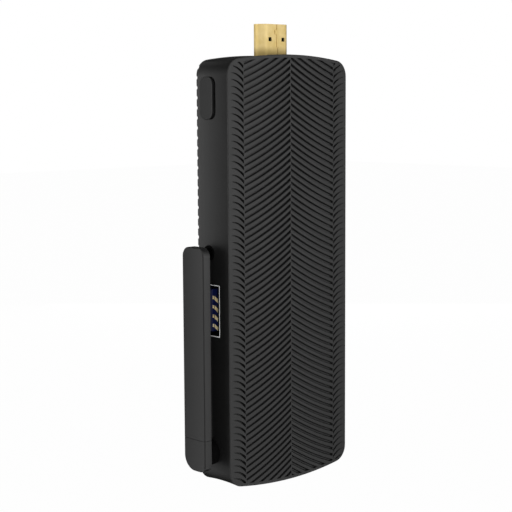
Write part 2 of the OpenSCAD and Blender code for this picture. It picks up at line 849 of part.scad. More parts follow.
// Pivot knuckle with a round foot, a spigot for the sleeve and a bent bore for the lead
module antenna_knuckle() {
    spigot_w = ant_w - 2*sleeve_t - 2*fit_gap;
    spigot_t = ant_t - 2*sleeve_t - 2*fit_gap;
    color(charcoal) difference() {
        union() {
            bar_x(ant_out, ant_in, side_y, swivel_z, ant_w/2);
            box([ant_out, side_y - ant_w/2, swivel_z], [ant_in, side_y + ant_w/2, seam_z]);
            box([ant_mid - spigot_t/2, side_y - spigot_w/2, seam_z],
                [ant_mid + spigot_t/2, side_y + spigot_w/2, seam_z + spigot_len]);
        }
        bar_x(ant_in - key_len - run_gap, ant_in + past, side_y, swivel_z, key_r + run_gap);
        bar_x(ant_mid - lead_bore_r, ant_in, side_y, swivel_z, 2*lead_r);
        translate([ant_mid, side_y, swivel_z]) cylinder(h = seam_up + spigot_len + past, r = lead_bore_r);
    }
}

// Hub that stands off the case wall, its shaft through the wall and a bore for the lead
module antenna_hub() {
    color(black) difference() {
        union() {
            bar_x(ant_in, -side_x - run_gap, side_y, swivel_z, hub_r);
            bar_x(ant_in - key_len, ant_in, side_y, swivel_z, key_r);
            bar_x(-side_x - run_gap, clip_x, side_y, swivel_z, shaft_r);
            bar_x(clip_x, clip_x + clip_t + run_gap, side_y, swivel_z, clip_groove_r);
            bar_x(clip_x + clip_t + run_gap, shaft_end, side_y, swivel_z, shaft_r);
        }
        bar_x(ant_in - key_len - past, shaft_end + past, side_y, swivel_z, lead_bore_r);
    }
}

module antenna_washer() {
    color(steel) difference() {
        bar_x(-in_x + run_gap, -in_x + run_gap + washer_t, side_y, swivel_z, clip_r);
        bar_x(-in_x, -in_x + washer_t + past, side_y, swivel_z, shaft_r + run_gap);
    }
}

// Spring clip in the shaft's groove, open on one side
module antenna_clip() {
    mouth_share = 0.8;
    mouth_half = clip_groove_r*mouth_share;
    color(steel) difference() {
        bar_x(clip_x, clip_x + clip_t, side_y, swivel_z, clip_r);
        bar_x(clip_x - past, clip_x + clip_t + past, side_y, swivel_z, clip_groove_r + run_gap/2);
        box([clip_x - past, side_y, swivel_z - mouth_half],
            [clip_x + clip_t + past, side_y + 2*clip_r, swivel_z + mouth_half]);
    }
}

// Radiating strip in the sleeve, standing on the spigot
module antenna_element() {
    color("#a8763c")
        box([ant_mid + lead_r, side_y - element_w/2, seam_z + spigot_len],
            [ant_mid + lead_r + element_t, side_y + element_w/2, tip_z - tip_r]);
}

// Coax lead along the swivel's axis, bent up the sleeve to the strip
module antenna_lead() {
    color(black) {
        bar_x(ant_mid + lead_bend, shaft_end, side_y, swivel_z, lead_r);
        translate([ant_mid + lead_bend, side_y, swivel_z + lead_bend]) rotate([90, 0, 0])
            rotate([0, 0, 180]) rotate_extrude(angle = 90) translate([lead_bend, 0]) circle(lead_r);
        translate([ant_mid, side_y, swivel_z + lead_bend])
            cylinder(h = lead_top_z - swivel_z - lead_bend, r = lead_r);
    }
}

front_cover();
mid_frame();
rear_cover();
case_screws();
mainboard();
board_screws();
processor();
thermal_pad();
heat_spreader();
memory_chips();
storage_chip();
power_chip();
power_chokes();
radio_module();
radio_lead();
clock_cell();
cell_holder();
plug_shell();
plug_insulator();
plug_contacts();
port_shell();
port_tongue();
port_contacts();
audio_jack();
power_button();
button_switch();
switch_plunger();
inlet_shell();
inlet_tongue();
inlet_contacts();
antenna_sleeve();
antenna_knuckle();
antenna_hub();
antenna_washer();
antenna_clip();
antenna_element();
antenna_lead();
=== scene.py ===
from math import atan2, ceil, cos, degrees, floor, radians, sin, sqrt

import bmesh
import bpy
from mathutils import Matrix, Vector


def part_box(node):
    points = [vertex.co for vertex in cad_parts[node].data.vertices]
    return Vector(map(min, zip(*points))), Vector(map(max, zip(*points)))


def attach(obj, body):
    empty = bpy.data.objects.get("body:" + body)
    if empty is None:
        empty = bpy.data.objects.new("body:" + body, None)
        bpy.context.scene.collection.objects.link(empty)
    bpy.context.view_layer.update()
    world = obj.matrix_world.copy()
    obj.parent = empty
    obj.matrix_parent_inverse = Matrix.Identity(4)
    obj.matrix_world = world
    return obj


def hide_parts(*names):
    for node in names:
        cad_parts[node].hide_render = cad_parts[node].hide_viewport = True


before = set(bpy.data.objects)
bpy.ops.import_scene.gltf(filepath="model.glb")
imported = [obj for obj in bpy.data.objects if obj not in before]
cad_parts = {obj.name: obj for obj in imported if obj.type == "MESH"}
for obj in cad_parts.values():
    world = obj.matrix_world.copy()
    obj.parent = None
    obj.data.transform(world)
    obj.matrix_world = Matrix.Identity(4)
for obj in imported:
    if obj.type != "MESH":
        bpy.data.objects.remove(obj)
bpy.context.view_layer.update()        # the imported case, antenna and button, already in place
mm = 0.001
near = 0.02              # how close counts as the same place, mm
weld = 0.005             # corners closer than this become one, mm
past = 1                 # how far a cutter reaches past what it cuts, mm
print("frame loaded,", len(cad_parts), "nodes")


# Selecting and tracing, all sizes in mm

def clearPick():
    if bpy.context.object and bpy.context.object.mode != "OBJECT":
        bpy.ops.object.mode_set(mode="OBJECT")
    bpy.ops.object.select_all(action="DESELECT")


def takeUp(shape):
    clearPick()
    shape.select_set(True)
    bpy.context.view_layer.objects.active = shape


def work(shape):
    takeUp(shape)
    bpy.ops.object.mode_set(mode="EDIT")


def pickAll(kind=None):
    if kind:
        bpy.ops.mesh.select_mode(type=kind)
    bpy.ops.mesh.select_all(action="SELECT")


def startAt(name, x, y, z):
    clearPick()
    bpy.ops.mesh.primitive_plane_add(size=mm)
    shape = bpy.context.object
    shape.name = shape.data.name = name
    bpy.ops.object.mode_set(mode="EDIT")
    pickAll("VERT")
    bpy.ops.mesh.merge(type="CENTER")      # a single point to trace from
    bpy.ops.transform.translate(value=(x*mm, y*mm, z*mm))
    return shape


def push(x, y, z):
    bpy.ops.mesh.extrude_region_move(TRANSFORM_OT_translate={"value": (x*mm, y*mm, z*mm)})


def sweep(centre, axis, turn, steps):
    # about +Y a positive turn goes from +X to +Z, about +X from +Z to +Y
    middle = [c*mm for c in centre]
    bpy.ops.mesh.spin(steps=steps, angle=radians(turn), center=middle, axis=axis)


def weldAll():
    pickAll()
    bpy.ops.mesh.remove_doubles(threshold=weld*mm)


def fill():
    weldAll()
    bpy.ops.mesh.edge_face_add()


def pick(shape, kind, test):
    # an edge or face is picked when all its corners pass the test, in mm
    bpy.ops.mesh.select_mode(type=kind)
    bpy.ops.mesh.select_all(action="DESELECT")
    mesh = bmesh.from_edit_mesh(shape.data)
    parts = {"VERT": mesh.verts, "EDGE": mesh.edges, "FACE": mesh.faces}[kind]
    for part in parts:
        corners = [part] if kind == "VERT" else part.verts
        places = [c.co/mm for c in corners]
        if all(test(p) for p in places):
            part.select_set(True)
    mesh.select_flush_mode()
    bmesh.update_edit_mesh(shape.data)


def roundPicked(size, steps, kind="EDGES"):
    bpy.ops.mesh.bevel(offset=size*mm, segments=steps, affect=kind)


def sliceAlong(axis, low, high, count):
    # even cuts across the shape, so that it can be bowed
    for i in range(1, count):
        pickAll()
        cut = low + (high - low)*i/count
        bpy.ops.mesh.bisect(plane_co=[a*cut*mm for a in axis], plane_no=axis)


def outward():
    pickAll()
    bpy.ops.mesh.normals_make_consistent(inside=False)


def applyStep(shape, kind, **settings):
    takeUp(shape)
    step = shape.modifiers.new(kind.lower(), kind)
    for name, value in settings.items():
        setattr(step, name, value)
    bpy.ops.object.modifier_apply(modifier=step.name)


def repeatDown(shape, count, pitch):
    applyStep(shape, "ARRAY", count=count, use_relative_offset=False, use_constant_offset=True,
              constant_offset_displace=(0, 0, -pitch*mm))


def carve(shape, tool, operation="DIFFERENCE"):
    applyStep(shape, "BOOLEAN", operation=operation, solver="MANIFOLD", object=tool)
    bpy.data.objects.remove(tool)


def copyOf(shape, name):
    clearPick()
    twin = shape.copy()
    twin.data = shape.data.copy()
    twin.name = twin.data.name = name
    bpy.context.scene.collection.objects.link(twin)
    return twin


def joinAll(shapes):
    clearPick()
    for shape in shapes:
        shape.select_set(True)
    bpy.context.view_layer.objects.active = shapes[0]
    bpy.ops.object.join()
    return shapes[0]


def blockTool(name, low, high):
    size = [(b - a)*mm for a, b in zip(low, high)]
    middle = [(a + b)/2*mm for a, b in zip(low, high)]
    clearPick()
    bpy.ops.mesh.primitive_cube_add(size=1, location=middle, scale=size)
    bpy.ops.object.transform_apply(location=True, rotation=True, scale=True)
    tool = bpy.context.object
    tool.name = tool.data.name = name
    return tool


def rodTool(name, radius, start, end, sides=48):
    a, b = Vector(start)*mm, Vector(end)*mm
    clearPick()
    bpy.ops.mesh.primitive_cylinder_add(vertices=sides, radius=radius*mm, depth=(b - a).length)
    tool = bpy.context.object
    tool.name = tool.data.name = name
    turn = (b - a).to_track_quat("Z", "Y").to_matrix().to_4x4()
    tool.data.transform(Matrix.Translation((a + b)/2) @ turn)
    return tool


def oblong(name, x, y, z, length, width, corner, steps=12):
    # long round-cornered face on the side of the case
    halfY, halfZ = width/2 - corner, length/2 - corner
    shape = startAt(name, x, y - width/2, z - halfZ)
    for side in (1, -1):
        push(0, 0, 2*side*halfZ)
        sweep((x, y - side*halfY, z + side*halfZ), (1, 0, 0), 90, steps)
        push(0, 2*side*halfY, 0)
        sweep((x, y + side*halfY, z + side*halfZ), (1, 0, 0), 90, steps)
    fill()
    return shape


def boxOf(node):
    low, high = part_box(node)
    return low/mm, high/mm


def settle(piece, finish, body, slotName, *nodes, sharp=35):
    takeUp(piece)
    bpy.ops.object.shade_smooth_by_angle(angle=radians(sharp))
    applyStep(piece, "WEIGHTED_NORMAL", keep_sharp=True)      # flat faces stay flat beside small rounds
    piece.data.materials.clear()
    piece.data.materials.append(finish)
    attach(piece, body)
    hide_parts(*nodes)
    print("piece", piece.name, len(piece.data.polygons), "faces")


# Finishes

def shade(code):
    # sRGB hex to linear
    parts = [int(code[i:i + 2], 16)/255 for i in (1, 3, 5)]
    return [c/12.92 if c <= 0.04045 else ((c + 0.055)/1.055)**2.4 for c in parts] + [1]


def addNode(tree, kind, settings=None, links=None):
    node = tree.nodes.new("ShaderNode" + kind)
    for name, value in (settings or {}).items():
        if isinstance(name, int) or name in node.inputs:
            node.inputs[name].default_value = value
        else:
            setattr(node, name, value)
    for name, (source, output) in (links or {}).items():
        tree.links.new(source.outputs[output], node.inputs[name])
    return node


def emptyFinish(name):
    finish = bpy.data.materials.new(name)
    finish.use_nodes = True
    finish.node_tree.nodes.clear()
    return finish, finish.node_tree


def speckle(tree, place, size, detail, rough=0.5):
    # noise with spots of about this size, mm
    return addNode(tree, "TexNoise", {"Scale": 1/(size*mm), "Detail": detail, "Roughness": rough},
                   {"Vector": place})


def tint(tree, look, source, spread):
    # from the darker to the lighter colour of a look
    ramp = addNode(tree, "ValToRGB", {}, {"Fac": source})
    for stop, side, tone in zip(ramp.color_ramp.elements, (-1, 1), ("dark", "light")):
        stop.position = 0.5 + side*spread
        stop.color = shade(look[tone])
    return ramp


def wander(tree, look, source, less, more):
    # roughness that wanders a little about its written value
    return addNode(tree, "MapRange", {"To Min": look["rough"] - less, "To Max": look["rough"] + more},
                   {"Value": source})


def relief(tree, look, source, height):
    return addNode(tree, "Bump", {"Strength": look["bump"], "Distance": height*mm}, {"Height": source})


def mouldedFinish(name, look):
    # moulded plastic: an even colour, broken by fine spark-eroded grain and slow drifts of gloss
    finish, tree = emptyFinish(name)
    place = (addNode(tree, "TexCoord"), "Object")
    grain = (speckle(tree, place, look["grain"], detail=3, rough=0.6), "Fac")
    drift = (speckle(tree, place, look["drift"], detail=2), "Fac")
    shader = addNode(tree, "BsdfPrincipled", {"Specular IOR Level": look["sheen"], "IOR": 1.5},
                     {"Base Color": (tint(tree, look, grain, spread=0.2), "Color"),
                      "Roughness": (wander(tree, look, drift, less=0.06, more=0.06), "Result"),
                      "Normal": (relief(tree, look, grain, height=0.02), "Normal")})
    addNode(tree, "OutputMaterial", {}, {"Surface": (shader, "BSDF")})
    return finish


def metalFinish(name, look):
    # plated or bare metal: long faint rolling lines along one axis and a little tarnish
    finish, tree = emptyFinish(name)
    place = (addNode(tree, "TexCoord"), "Object")
    along = addNode(tree, "Mapping", {"Scale": look["lines"]}, {"Vector": place})
    lines = (speckle(tree, (along, "Vector"), look["grain"], detail=4), "Fac")
    tarnish = (speckle(tree, place, look["drift"], detail=3), "Fac")
    paint = (tint(tree, look, tarnish, spread=0.15), "Color")
    if "paintedShade" in look:                  # painted shade: the plating's colour darkens towards one end along Z
        axes = addNode(tree, "SeparateXYZ", {}, {"Vector": place})
        low, high = look["paintedShadeSpan"]
        share = addNode(tree, "MapRange", {"interpolation_type": "SMOOTHSTEP", "From Min": low*mm,
                                           "From Max": high*mm, "To Min": 1, "To Max": 0},
                        {"Value": (axes, "Z")})
        shadeMix = addNode(tree, "MixRGB", {"Color2": shade(look["paintedShade"])},
                          {"Fac": (share, "Result"), "Color1": paint})
        paint = (shadeMix, "Color")
    shader = addNode(tree, "BsdfPrincipled", {"Metallic": look.get("metal", 1)},
                     {"Base Color": paint,
                      "Roughness": (wander(tree, look, lines, less=0.05, more=0.08), "Result"),
                      "Normal": (relief(tree, look, lines, height=0.01), "Normal")})
    addNode(tree, "OutputMaterial", {}, {"Surface": (shader, "BSDF")})
    return finish


# Grain and lines are about a tenth of a millimetre on the real pieces, drawn a few times coarser so that
# they show. Each note says what the finish gives the eye.

# nearly black, its grey only the soft sheen of what stands around it
matteAbs = mouldedFinish("charcoal_satin_abs", {
    "dark": "#121212", "light": "#171717", "rough": 0.38, "sheen": 0.4,
    "grain": 0.3, "drift": 9, "bump": 0.2})
# the same black, a shade smoother and brighter in its sheen
antennaAbs = mouldedFinish("antenna_satin_abs", {
    "dark": "#121212", "light": "#171717", "rough": 0.38, "sheen": 0.45,
    "grain": 0.3, "drift": 12, "bump": 0.12})
# dull black with hardly a highlight
blackResin = mouldedFinish("black_connector_resin", {
    "dark": "#111112", "light": "#1a1a1b", "rough": 0.5, "sheen": 0.3,
    "grain": 0.3, "drift": 4, "bump": 0.15})
# near black with next to no sheen, on the jack nozzle and the plug's insulator; on the antenna hub and
# inside the port it is painted shade
dullBlackAndShade = mouldedFinish("dull_black_and_painted_shade", {
    "dark": "#040404", "light": "#070707", "rough": 0.8, "sheen": 0.05,
    "grain": 0.3, "drift": 4, "bump": 0.1})
# deep navy that shows blue only where light falls into the port
blueResin = mouldedFinish("blue_tongue_resin", {
    "dark": "#0d1338", "light": "#141c48", "rough": 0.4, "sheen": 0.4,
    "grain": 0.3, "drift": 4, "bump": 0.1})
# clear warm yellow with bright edges
goldPlate = metalFinish("gold_plated_brass", {
    "dark": "#d9bd74", "light": "#e6cf8e", "rough": 0.3, "lines": (1, 1, 0.12),
    "grain": 0.4, "drift": 5,
    "bump": 0.1})
# pale satin gold, streaked along the plug, with painted shade darkening it where it meets the case
plugGold = metalFinish("gold_plated_shell", {
    "dark": "#d8be7a", "light": "#e2ca8e", "rough": 0.55, "lines": (1, 1, 0.05),
    "grain": 0.4, "drift": 3,
    "bump": 0.1, "metal": 0.62, "paintedShade": "#a8925a", "paintedShadeSpan": (0, 3.4)})
# nickel drawn near white, more white than mirror: a painted highlight on the thin bright rim
portNickelHighlight = metalFinish("port_nickel_painted_highlight", {
    "dark": "#eceded", "light": "#f6f6f6", "rough": 0.4, "lines": (0.12, 1, 1),
    "grain": 0.4, "drift": 4,
    "bump": 0.1, "metal": 0.15})
# creamy strips that stand out in the dark port
portGold = metalFinish("gold_flashed_strip", {
    "dark": "#efd69a", "light": "#f6e4b4", "rough": 0.5, "lines": (0.2, 1, 1), "grain": 0.4, "drift": 4,
    "bump": 0.1, "metal": 0.2})
# cool grey with soft mirror streaks
nickelPlate = metalFinish("nickel_plated_steel", {
    "dark": "#b9bbbd", "light": "#d4d5d6", "rough": 0.25, "lines": (0.12, 1, 1),
    "grain": 0.4, "drift": 4,
    "bump": 0.1})
# dark grey heads that glint at their rims
blackSteel = metalFinish("blackened_screw_steel", {
    "dark": "#4a4b4d", "light": "#66686b", "rough": 0.38, "lines": (1, 0.2, 1),
    "grain": 0.3, "drift": 2,
    "bump": 0.15})
# bright, with long rolling lines
brightAluminium = metalFinish("rolled_aluminium", {
    "dark": "#bcbec0", "light": "#cfd1d3", "rough": 0.32, "lines": (1, 1, 0.06),
    "grain": 0.5, "drift": 12,
    "bump": 0.2})
# soft silvery grey, faintly warm
tinPlate = metalFinish("tin_plated_can", {
    "dark": "#b4b6b3", "light": "#c8cac7", "rough": 0.34, "lines": (1, 1, 0.2),
    "grain": 0.4, "drift": 5,
    "bump": 0.1})
# orange-brown foil with a smooth shine
copperStrip = metalFinish("copper_foil", {
    "dark": "#b4714c", "light": "#c98a62", "rough": 0.3, "lines": (1, 1, 0.1), "grain": 0.3, "drift": 5,
    "bump": 0.1})
# dark green lacquer over the weave of the board
greenLaminate = mouldedFinish("solder_masked_laminate", {
    "dark": "#12402b", "light": "#1a5438", "rough": 0.35, "sheen": 0.5,
    "grain": 0.8, "drift": 10, "bump": 0.1})
# flat black of moulded chips
chipEpoxy = mouldedFinish("black_chip_epoxy", {
    "dark": "#161617", "light": "#222223", "rough": 0.6, "sheen": 0.3,
    "grain": 0.2, "drift": 5, "bump": 0.2})
# soft blue-grey without shine
greyPad = mouldedFinish("soft_silicone_pad", {
    "dark": "#8b949c", "light": "#a3acb3", "rough": 0.7, "sheen": 0.3,
    "grain": 0.5, "drift": 6, "bump": 0.3})
# grainy dark grey, like pressed powder
ferrite = mouldedFinish("pressed_ferrite", {
    "dark": "#3d3d3f", "light": "#4f4f52", "rough": 0.65, "sheen": 0.3,
    "grain": 0.25, "drift": 4, "bump": 0.4})
# smooth black with one soft highlight along the lead
leadJacket = mouldedFinish("black_lead_jacket", {
    "dark": "#141415", "light": "#1d1d1e", "rough": 0.45, "sheen": 0.4,
    "grain": 0.4, "drift": 5, "bump": 0.1})
# milky off-white
paleNylon = mouldedFinish("natural_nylon", {
    "dark": "#cfccc4", "light": "#dedbd4", "rough": 0.45, "sheen": 0.4,
    "grain": 0.4, "drift": 5, "bump": 0.1})
print("finishes made")


# Camera at the photograph's angle, lights, floor and white surround

shot = {"place": (-327.81, -343.88, -15.77), "yaw": 42.897, "pitch": 6.59, "roll": -0.318, "lens": 94.53,
        "sensor": 36, "nearest": 10}

bpy.ops.object.camera_add()
camera = bpy.context.object
camera.name = "photo_camera"
camera.data.lens = shot["lens"]
camera.data.sensor_width = shot["sensor"]
camera.data.clip_start = shot["nearest"]*mm
camera.matrix_world = (Matrix.Translation(Vector(shot["place"])*mm)
                       @ Matrix.Rotation(radians(-shot["yaw"]), 4, "Z")
                       @ Matrix.Rotation(radians(90 - shot["pitch"]), 4, "X")
                       @ Matrix.Rotation(radians(shot["roll"]), 4, "Z"))
bpy.context.scene.camera = camera
bpy.context.scene.view_settings.view_transform = "Standard"

# A lamp marked matteOnly isn't mirrored, so edges and gold show no hot lines from it
lamps = {"left_box": {"from": (-820, 330, -60), "size": 300, "watts": 1.3},
         "front_box": {"from": (-80, -900, 20), "size": 500, "watts": 3.5, "matteOnly": True},
         "front_sheen": {"from": (516, -737, -80), "size": 500, "watts": 0.65},
         "edge_glint": {"from": (-80, -900, 20), "size": 300, "watts": 0.7},
         "camera_fill": {"from": (-640, -640, 60), "size": 600, "watts": 6, "matteOnly": True},
         "rear_right_fill": {"from": (620, 620, -160), "size": 500, "watts": 3}}
# floorGlow is the share of glow in the floor's white, fill the light that the surround gives the part
studio = {"floor": -220, "floorSize": 6000, "middle": (0, 0, -75), "paper": "#e6e6e6", "cloth": "#050505",
          "floorGlow": 0.985, "fill": 0.1, "clothSteps": 40}
cloths = {"back_cloth": {"radius": 520, "from": 131, "turn": 165, "low": -215, "high": 600},
          "camera_cloth": {"radius": 700, "from": 228, "turn": 22, "low": -216, "high": 420}}

for lampName, lamp in lamps.items():
    clearPick()
    bpy.ops.object.light_add(type="AREA", location=Vector(lamp["from"])*mm)
    box = bpy.context.object
    box.name = lampName
    box.data.size = lamp["size"]*mm
    box.data.energy = lamp["watts"]
    box.visible_glossy = not lamp.get("matteOnly", False)
    aim = Vector(studio["middle"])*mm - box.location
    box.rotation_euler = aim.to_track_quat("-Z", "Y").to_euler()


def seenRays(tree):
    # 1 for what the camera sees straight, in metal or through glass
    rays = addNode(tree, "LightPath")
    straight = addNode(tree, "Math", {"operation": "MAXIMUM"},
                       {0: (rays, "Is Camera Ray"), 1: (rays, "Is Glossy Ray")})
    return addNode(tree, "Math", {"operation": "MAXIMUM"},
                   {0: (straight, "Value"), 1: (rays, "Is Transmission Ray")})


clearPick()
bpy.ops.mesh.primitive_plane_add(size=studio["floorSize"]*mm, location=(0, 0, studio["floor"]*mm))
studioFloor = bpy.context.object
studioFloor.name = "studio_floor"
blackCloth, tree = emptyFinish("black_cloth")       # dead black, a dark shape in the part's sheen
matte = addNode(tree, "BsdfDiffuse", {"Color": shade(studio["cloth"])})
addNode(tree, "OutputMaterial", {}, {"Surface": (matte, "BSDF")})
for clothName, form in cloths.items():
    turn = radians(form["from"])
    flag = startAt(clothName, 0, 0, form["low"])
    push(form["radius"]*cos(turn), form["radius"]*sin(turn), 0)
    push(0, 0, form["high"] - form["low"])
    pickAll()
    sweep((0, 0, 0), (0, 0, 1), form["turn"], studio["clothSteps"])
    clearPick()
    flag.visible_camera = flag.visible_diffuse = flag.visible_shadow = flag.visible_transmission = False
    flag.data.materials.append(blackCloth)
paper, tree = emptyFinish("white_paper_floor")      # lit paper under a white glow, so shadows still show
seen = seenRays(tree)
sheet = addNode(tree, "BsdfDiffuse", {"Color": shade(studio["paper"])})
glow = addNode(tree, "Emission", {"Strength": 1})
share = addNode(tree, "Math", {"operation": "MULTIPLY", 1: studio["floorGlow"]}, {0: (seen, "Value")})
both = addNode(tree, "MixShader", {},
               {"Fac": (share, "Value"), 1: (sheet, "BSDF"), 2: (glow, "Emission")})
addNode(tree, "OutputMaterial", {}, {"Surface": (both, "Shader")})
studioFloor.data.materials.append(paper)

world = bpy.data.worlds.new("white_surround")
bpy.context.scene.world = world
world.use_nodes = True
tree = world.node_tree
tree.nodes.clear()
seen = seenRays(tree)
level = addNode(tree, "MapRange", {"To Min": studio["fill"], "To Max": 1}, {"Value": (seen, "Value")})
sky = addNode(tree, "Background", {"Color": (1, 1, 1, 1)}, {"Strength": (level, "Result")})
addNode(tree, "OutputWorld", {}, {"Surface": (sky, "Background")})
print("camera, lamps and floor set")


# Case outline: long straight sides, round corners and slightly bowed ends

bandLow, bandHigh = boxOf("mid_frame")
coverLow = boxOf("front_cover")[0]
backLow, backHigh = boxOf("rear_cover")
caseForm = {"endRise": 2.5, "cornerR": 5.6, "wall": 1.8, "landGap": 0.1, "landDepth": 0.6,
            "edgeRound": 0.3, "crown": 0.7, "rearCrown": 0.12, "waist": 0.38, "cornerSteps": 10,
            "endSteps": 28, "crownSteps": 24, "waistSteps": 8}
halfWidth = bandHigh.x
caseFoot = bandLow.z
frontSeam, rearSeam = bandLow.y, bandHigh.y
frontFace = coverLow.y + caseForm["crown"]
rearFace = backHigh.y - caseForm["rearCrown"]
endR = (halfWidth**2 + caseForm["endRise"]**2)/(2*caseForm["endRise"])
cornerX = halfWidth - caseForm["cornerR"]
cornerDown = endR - sqrt((endR - caseForm["cornerR"])**2 - cornerX**2)
endLean = degrees(atan2(cornerX, endR - cornerDown))


def traceCase(name, y, inset):
    up = (0, 1, 0)
    cornerTurn, cornerSteps = endLean - 90, caseForm["cornerSteps"]
    side = -caseFoot - 2*cornerDown
    shape = startAt(name, inset - halfWidth, y, caseFoot + cornerDown)
    push(0, 0, side)
    sweep((-cornerX, y, -cornerDown), up, cornerTurn, cornerSteps)
    sweep((0, y, -endR), up, -2*endLean, caseForm["endSteps"])
    sweep((cornerX, y, -cornerDown), up, cornerTurn, cornerSteps)
    push(0, 0, -side)
    sweep((cornerX, y, caseFoot + cornerDown), up, cornerTurn, cornerSteps)
    sweep((0, y, caseFoot + endR), up, -2*endLean, caseForm["endSteps"])
    sweep((-cornerX, y, caseFoot + cornerDown), up, cornerTurn, cornerSteps)
    fill()
    return shape


def crownAt(x, rise):
    return rise*(1 - (x/halfWidth)**2)


def wallAt(x, z):
    # how deep a point lies inside the outline, and the way out
    side = 1 if x > 0 else -1
    end = 1 if z > caseFoot/2 else -1
    down = -z if end > 0 else z - caseFoot
    if down > cornerDown:
        return halfWidth - abs(x), (side, 0)
    out = Vector((abs(x), endR - down))
    reach = endR
    if degrees(atan2(out.x, out.y)) > endLean:
        out = Vector((abs(x) - cornerX, cornerDown - down))
        reach = caseForm["cornerR"]
    depth = reach - out.length
    out.normalize()
    return depth, (side*out.x, end*out.y)


def hollowWall(shape):
    # the side wall is hollowed a little between the front and rear edges
    middle, half = (frontFace + rearFace)/2, (rearFace - frontFace)/2
    mesh = bmesh.from_edit_mesh(shape.data)
    for corner in mesh.verts:
        depth, way = wallAt(corner.co.x/mm, corner.co.z/mm)
        if depth < near:
            inward = caseForm["waist"]*max(0, 1 - ((corner.co.y/mm - middle)/half)**2)*mm
            corner.co.x -= way[0]*inward
            corner.co.z -= way[1]*inward
    bmesh.update_edit_mesh(shape.data)


def coverBlank(name, seam, face, rise):
    # plate with a land that fits inside the band, a rounded outer edge and a bowed face
    side = 1 if face > seam else -1
    shape = traceCase(name, seam, 0)
    push(0, face - seam, 0)
    outward()
    pick(shape, "FACE", lambda p: abs(p.y - seam) < near)
    bpy.ops.mesh.inset(thickness=(caseForm["wall"] + caseForm["landGap"])*mm, depth=0)
    push(0, -side*caseForm["landDepth"], 0)
    pick(shape, "EDGE", lambda p: abs(p.y - face) < near)
    roundPicked(caseForm["edgeRound"], steps=4)
    sliceAlong((1, 0, 0), -halfWidth, halfWidth, caseForm["crownSteps"])
    mesh = bmesh.from_edit_mesh(shape.data)
    for corner in mesh.verts:
        if side*(corner.co.y/mm - seam) > near:
            corner.co.y += side*crownAt(corner.co.x/mm, rise)*mm
    bmesh.update_edit_mesh(shape.data)
    hollowWall(shape)
    weldAll()
    outward()
    return shape


# Screws hold the rear cover to posts on the front cover, and the board to four more
screwLow, screwHigh = boxOf("case_screws")
boardLow, boardHigh = boxOf("board_screws")
boardFace = boxOf("mainboard")[0].y
screwForm = {"headR": 1.8, "headHigh": 1.2, "play": 0.1, "shankR": 1.0, "lowX": 17, "seatR": 2.2,
             "seatHigh": 2, "bossR": 2.6, "bossGap": 1.9, "postR": 2.4}
headR = screwForm["headR"]
screwRows = ((screwHigh.x - headR, screwHigh.z - headR), (screwForm["lowX"], screwLow.z + headR))
caseScrews = [(side*x, z) for x, z in screwRows for side in (-1, 1)]
boardRows = (boardHigh.z - headR, boardLow.z + headR)
boardScrews = [(side*(boardHigh.x - headR), z) for z in boardRows for side in (-1, 1)]


def screwRod(name, radius, place, low, high):
    x, z = place
    return rodTool(name, radius, (x, low, z), (x, high, z))


# Front cover with its herringbone of grooves, profiles as (half width, height) from the face

ribs = {"pitch": 2.27, "first": 0.45, "spineGap": 0.12, "bandX": 21.6, "slopeMid": 0.605,
        "slopeBand": 0.357, "bandSlope": 0.95, "bandSlopeOut": 0.05, "rim": 1.1, "steps": 12,
        "fieldScale": (0.78, 0.6), "bandScale": (0.88, 0.14), "bandEnd": 1.65, "lip": 0.5}
grooveProfile = ((1.12, 0.5), (1.04, 0.03), (0.88, -0.02), (0.74, -0.09), (0.63, -0.22), (0.54, -0.45),
                 (0.46, -1.1), (0.25, -1.3))
bandProfile = ((0.95, 0.5), (0.8, 0.03), (0.68, -0.04), (0.56, -0.18), (0.47, -0.5), (0.4, -1.1),
               (0.2, -1.25))
bandX, spineGap, bandStop = ribs["bandX"], ribs["spineGap"], halfWidth - ribs["bandEnd"]
fieldBend = (ribs["slopeMid"] - ribs["slopeBand"])/(2*bandX)
bandBend = (ribs["bandSlope"] - ribs["bandSlopeOut"])/(2*(bandStop - bandX))


def fieldDrop(u):
    return ribs["slopeMid"]*u - fieldBend*u*u


def bandRise(v):
    return ribs["bandSlope"]*v - bandBend*v*v


def frontAt(x):
    return frontFace - crownAt(x, caseForm["crown"])


def bothSides(profile):
    return list(profile) + [(-w, h) for w, h in reversed(profile)]


def grooveTool(name, profile, path):
    # path holds (x, z, scale) from the thick end to the thin end
    x, z, scale = path[0]
    section = bothSides([(w*scale, h*scale) for w, h in profile])
    tool = startAt(name, x, frontAt(x) - section[0][1], z + section[0][0])
    for (w0, h0), (w1, h1) in zip(section, section[1:]):
        push(0, h0 - h1, w1 - w0)
    fill()
    for (x0, z0, s0), (x1, z1, s1) in zip(path, path[1:]):
        push(x1 - x0, frontAt(x1) - frontAt(x0), z1 - z0)
        bpy.ops.transform.resize(value=(1, s1/s0, s1/s0), center_override=(x1*mm, frontAt(x1)*mm, z1*mm))
    outward()
    return tool


def alongPath(start, end, scales, heightAt):
    path = []
    for i in range(ribs["steps"] + 1):
        share = i/ribs["steps"]
        x = start + (end - start)*share
        path.append((x, heightAt(x), scales[0] + (scales[1] - scales[0])*share))
    return path


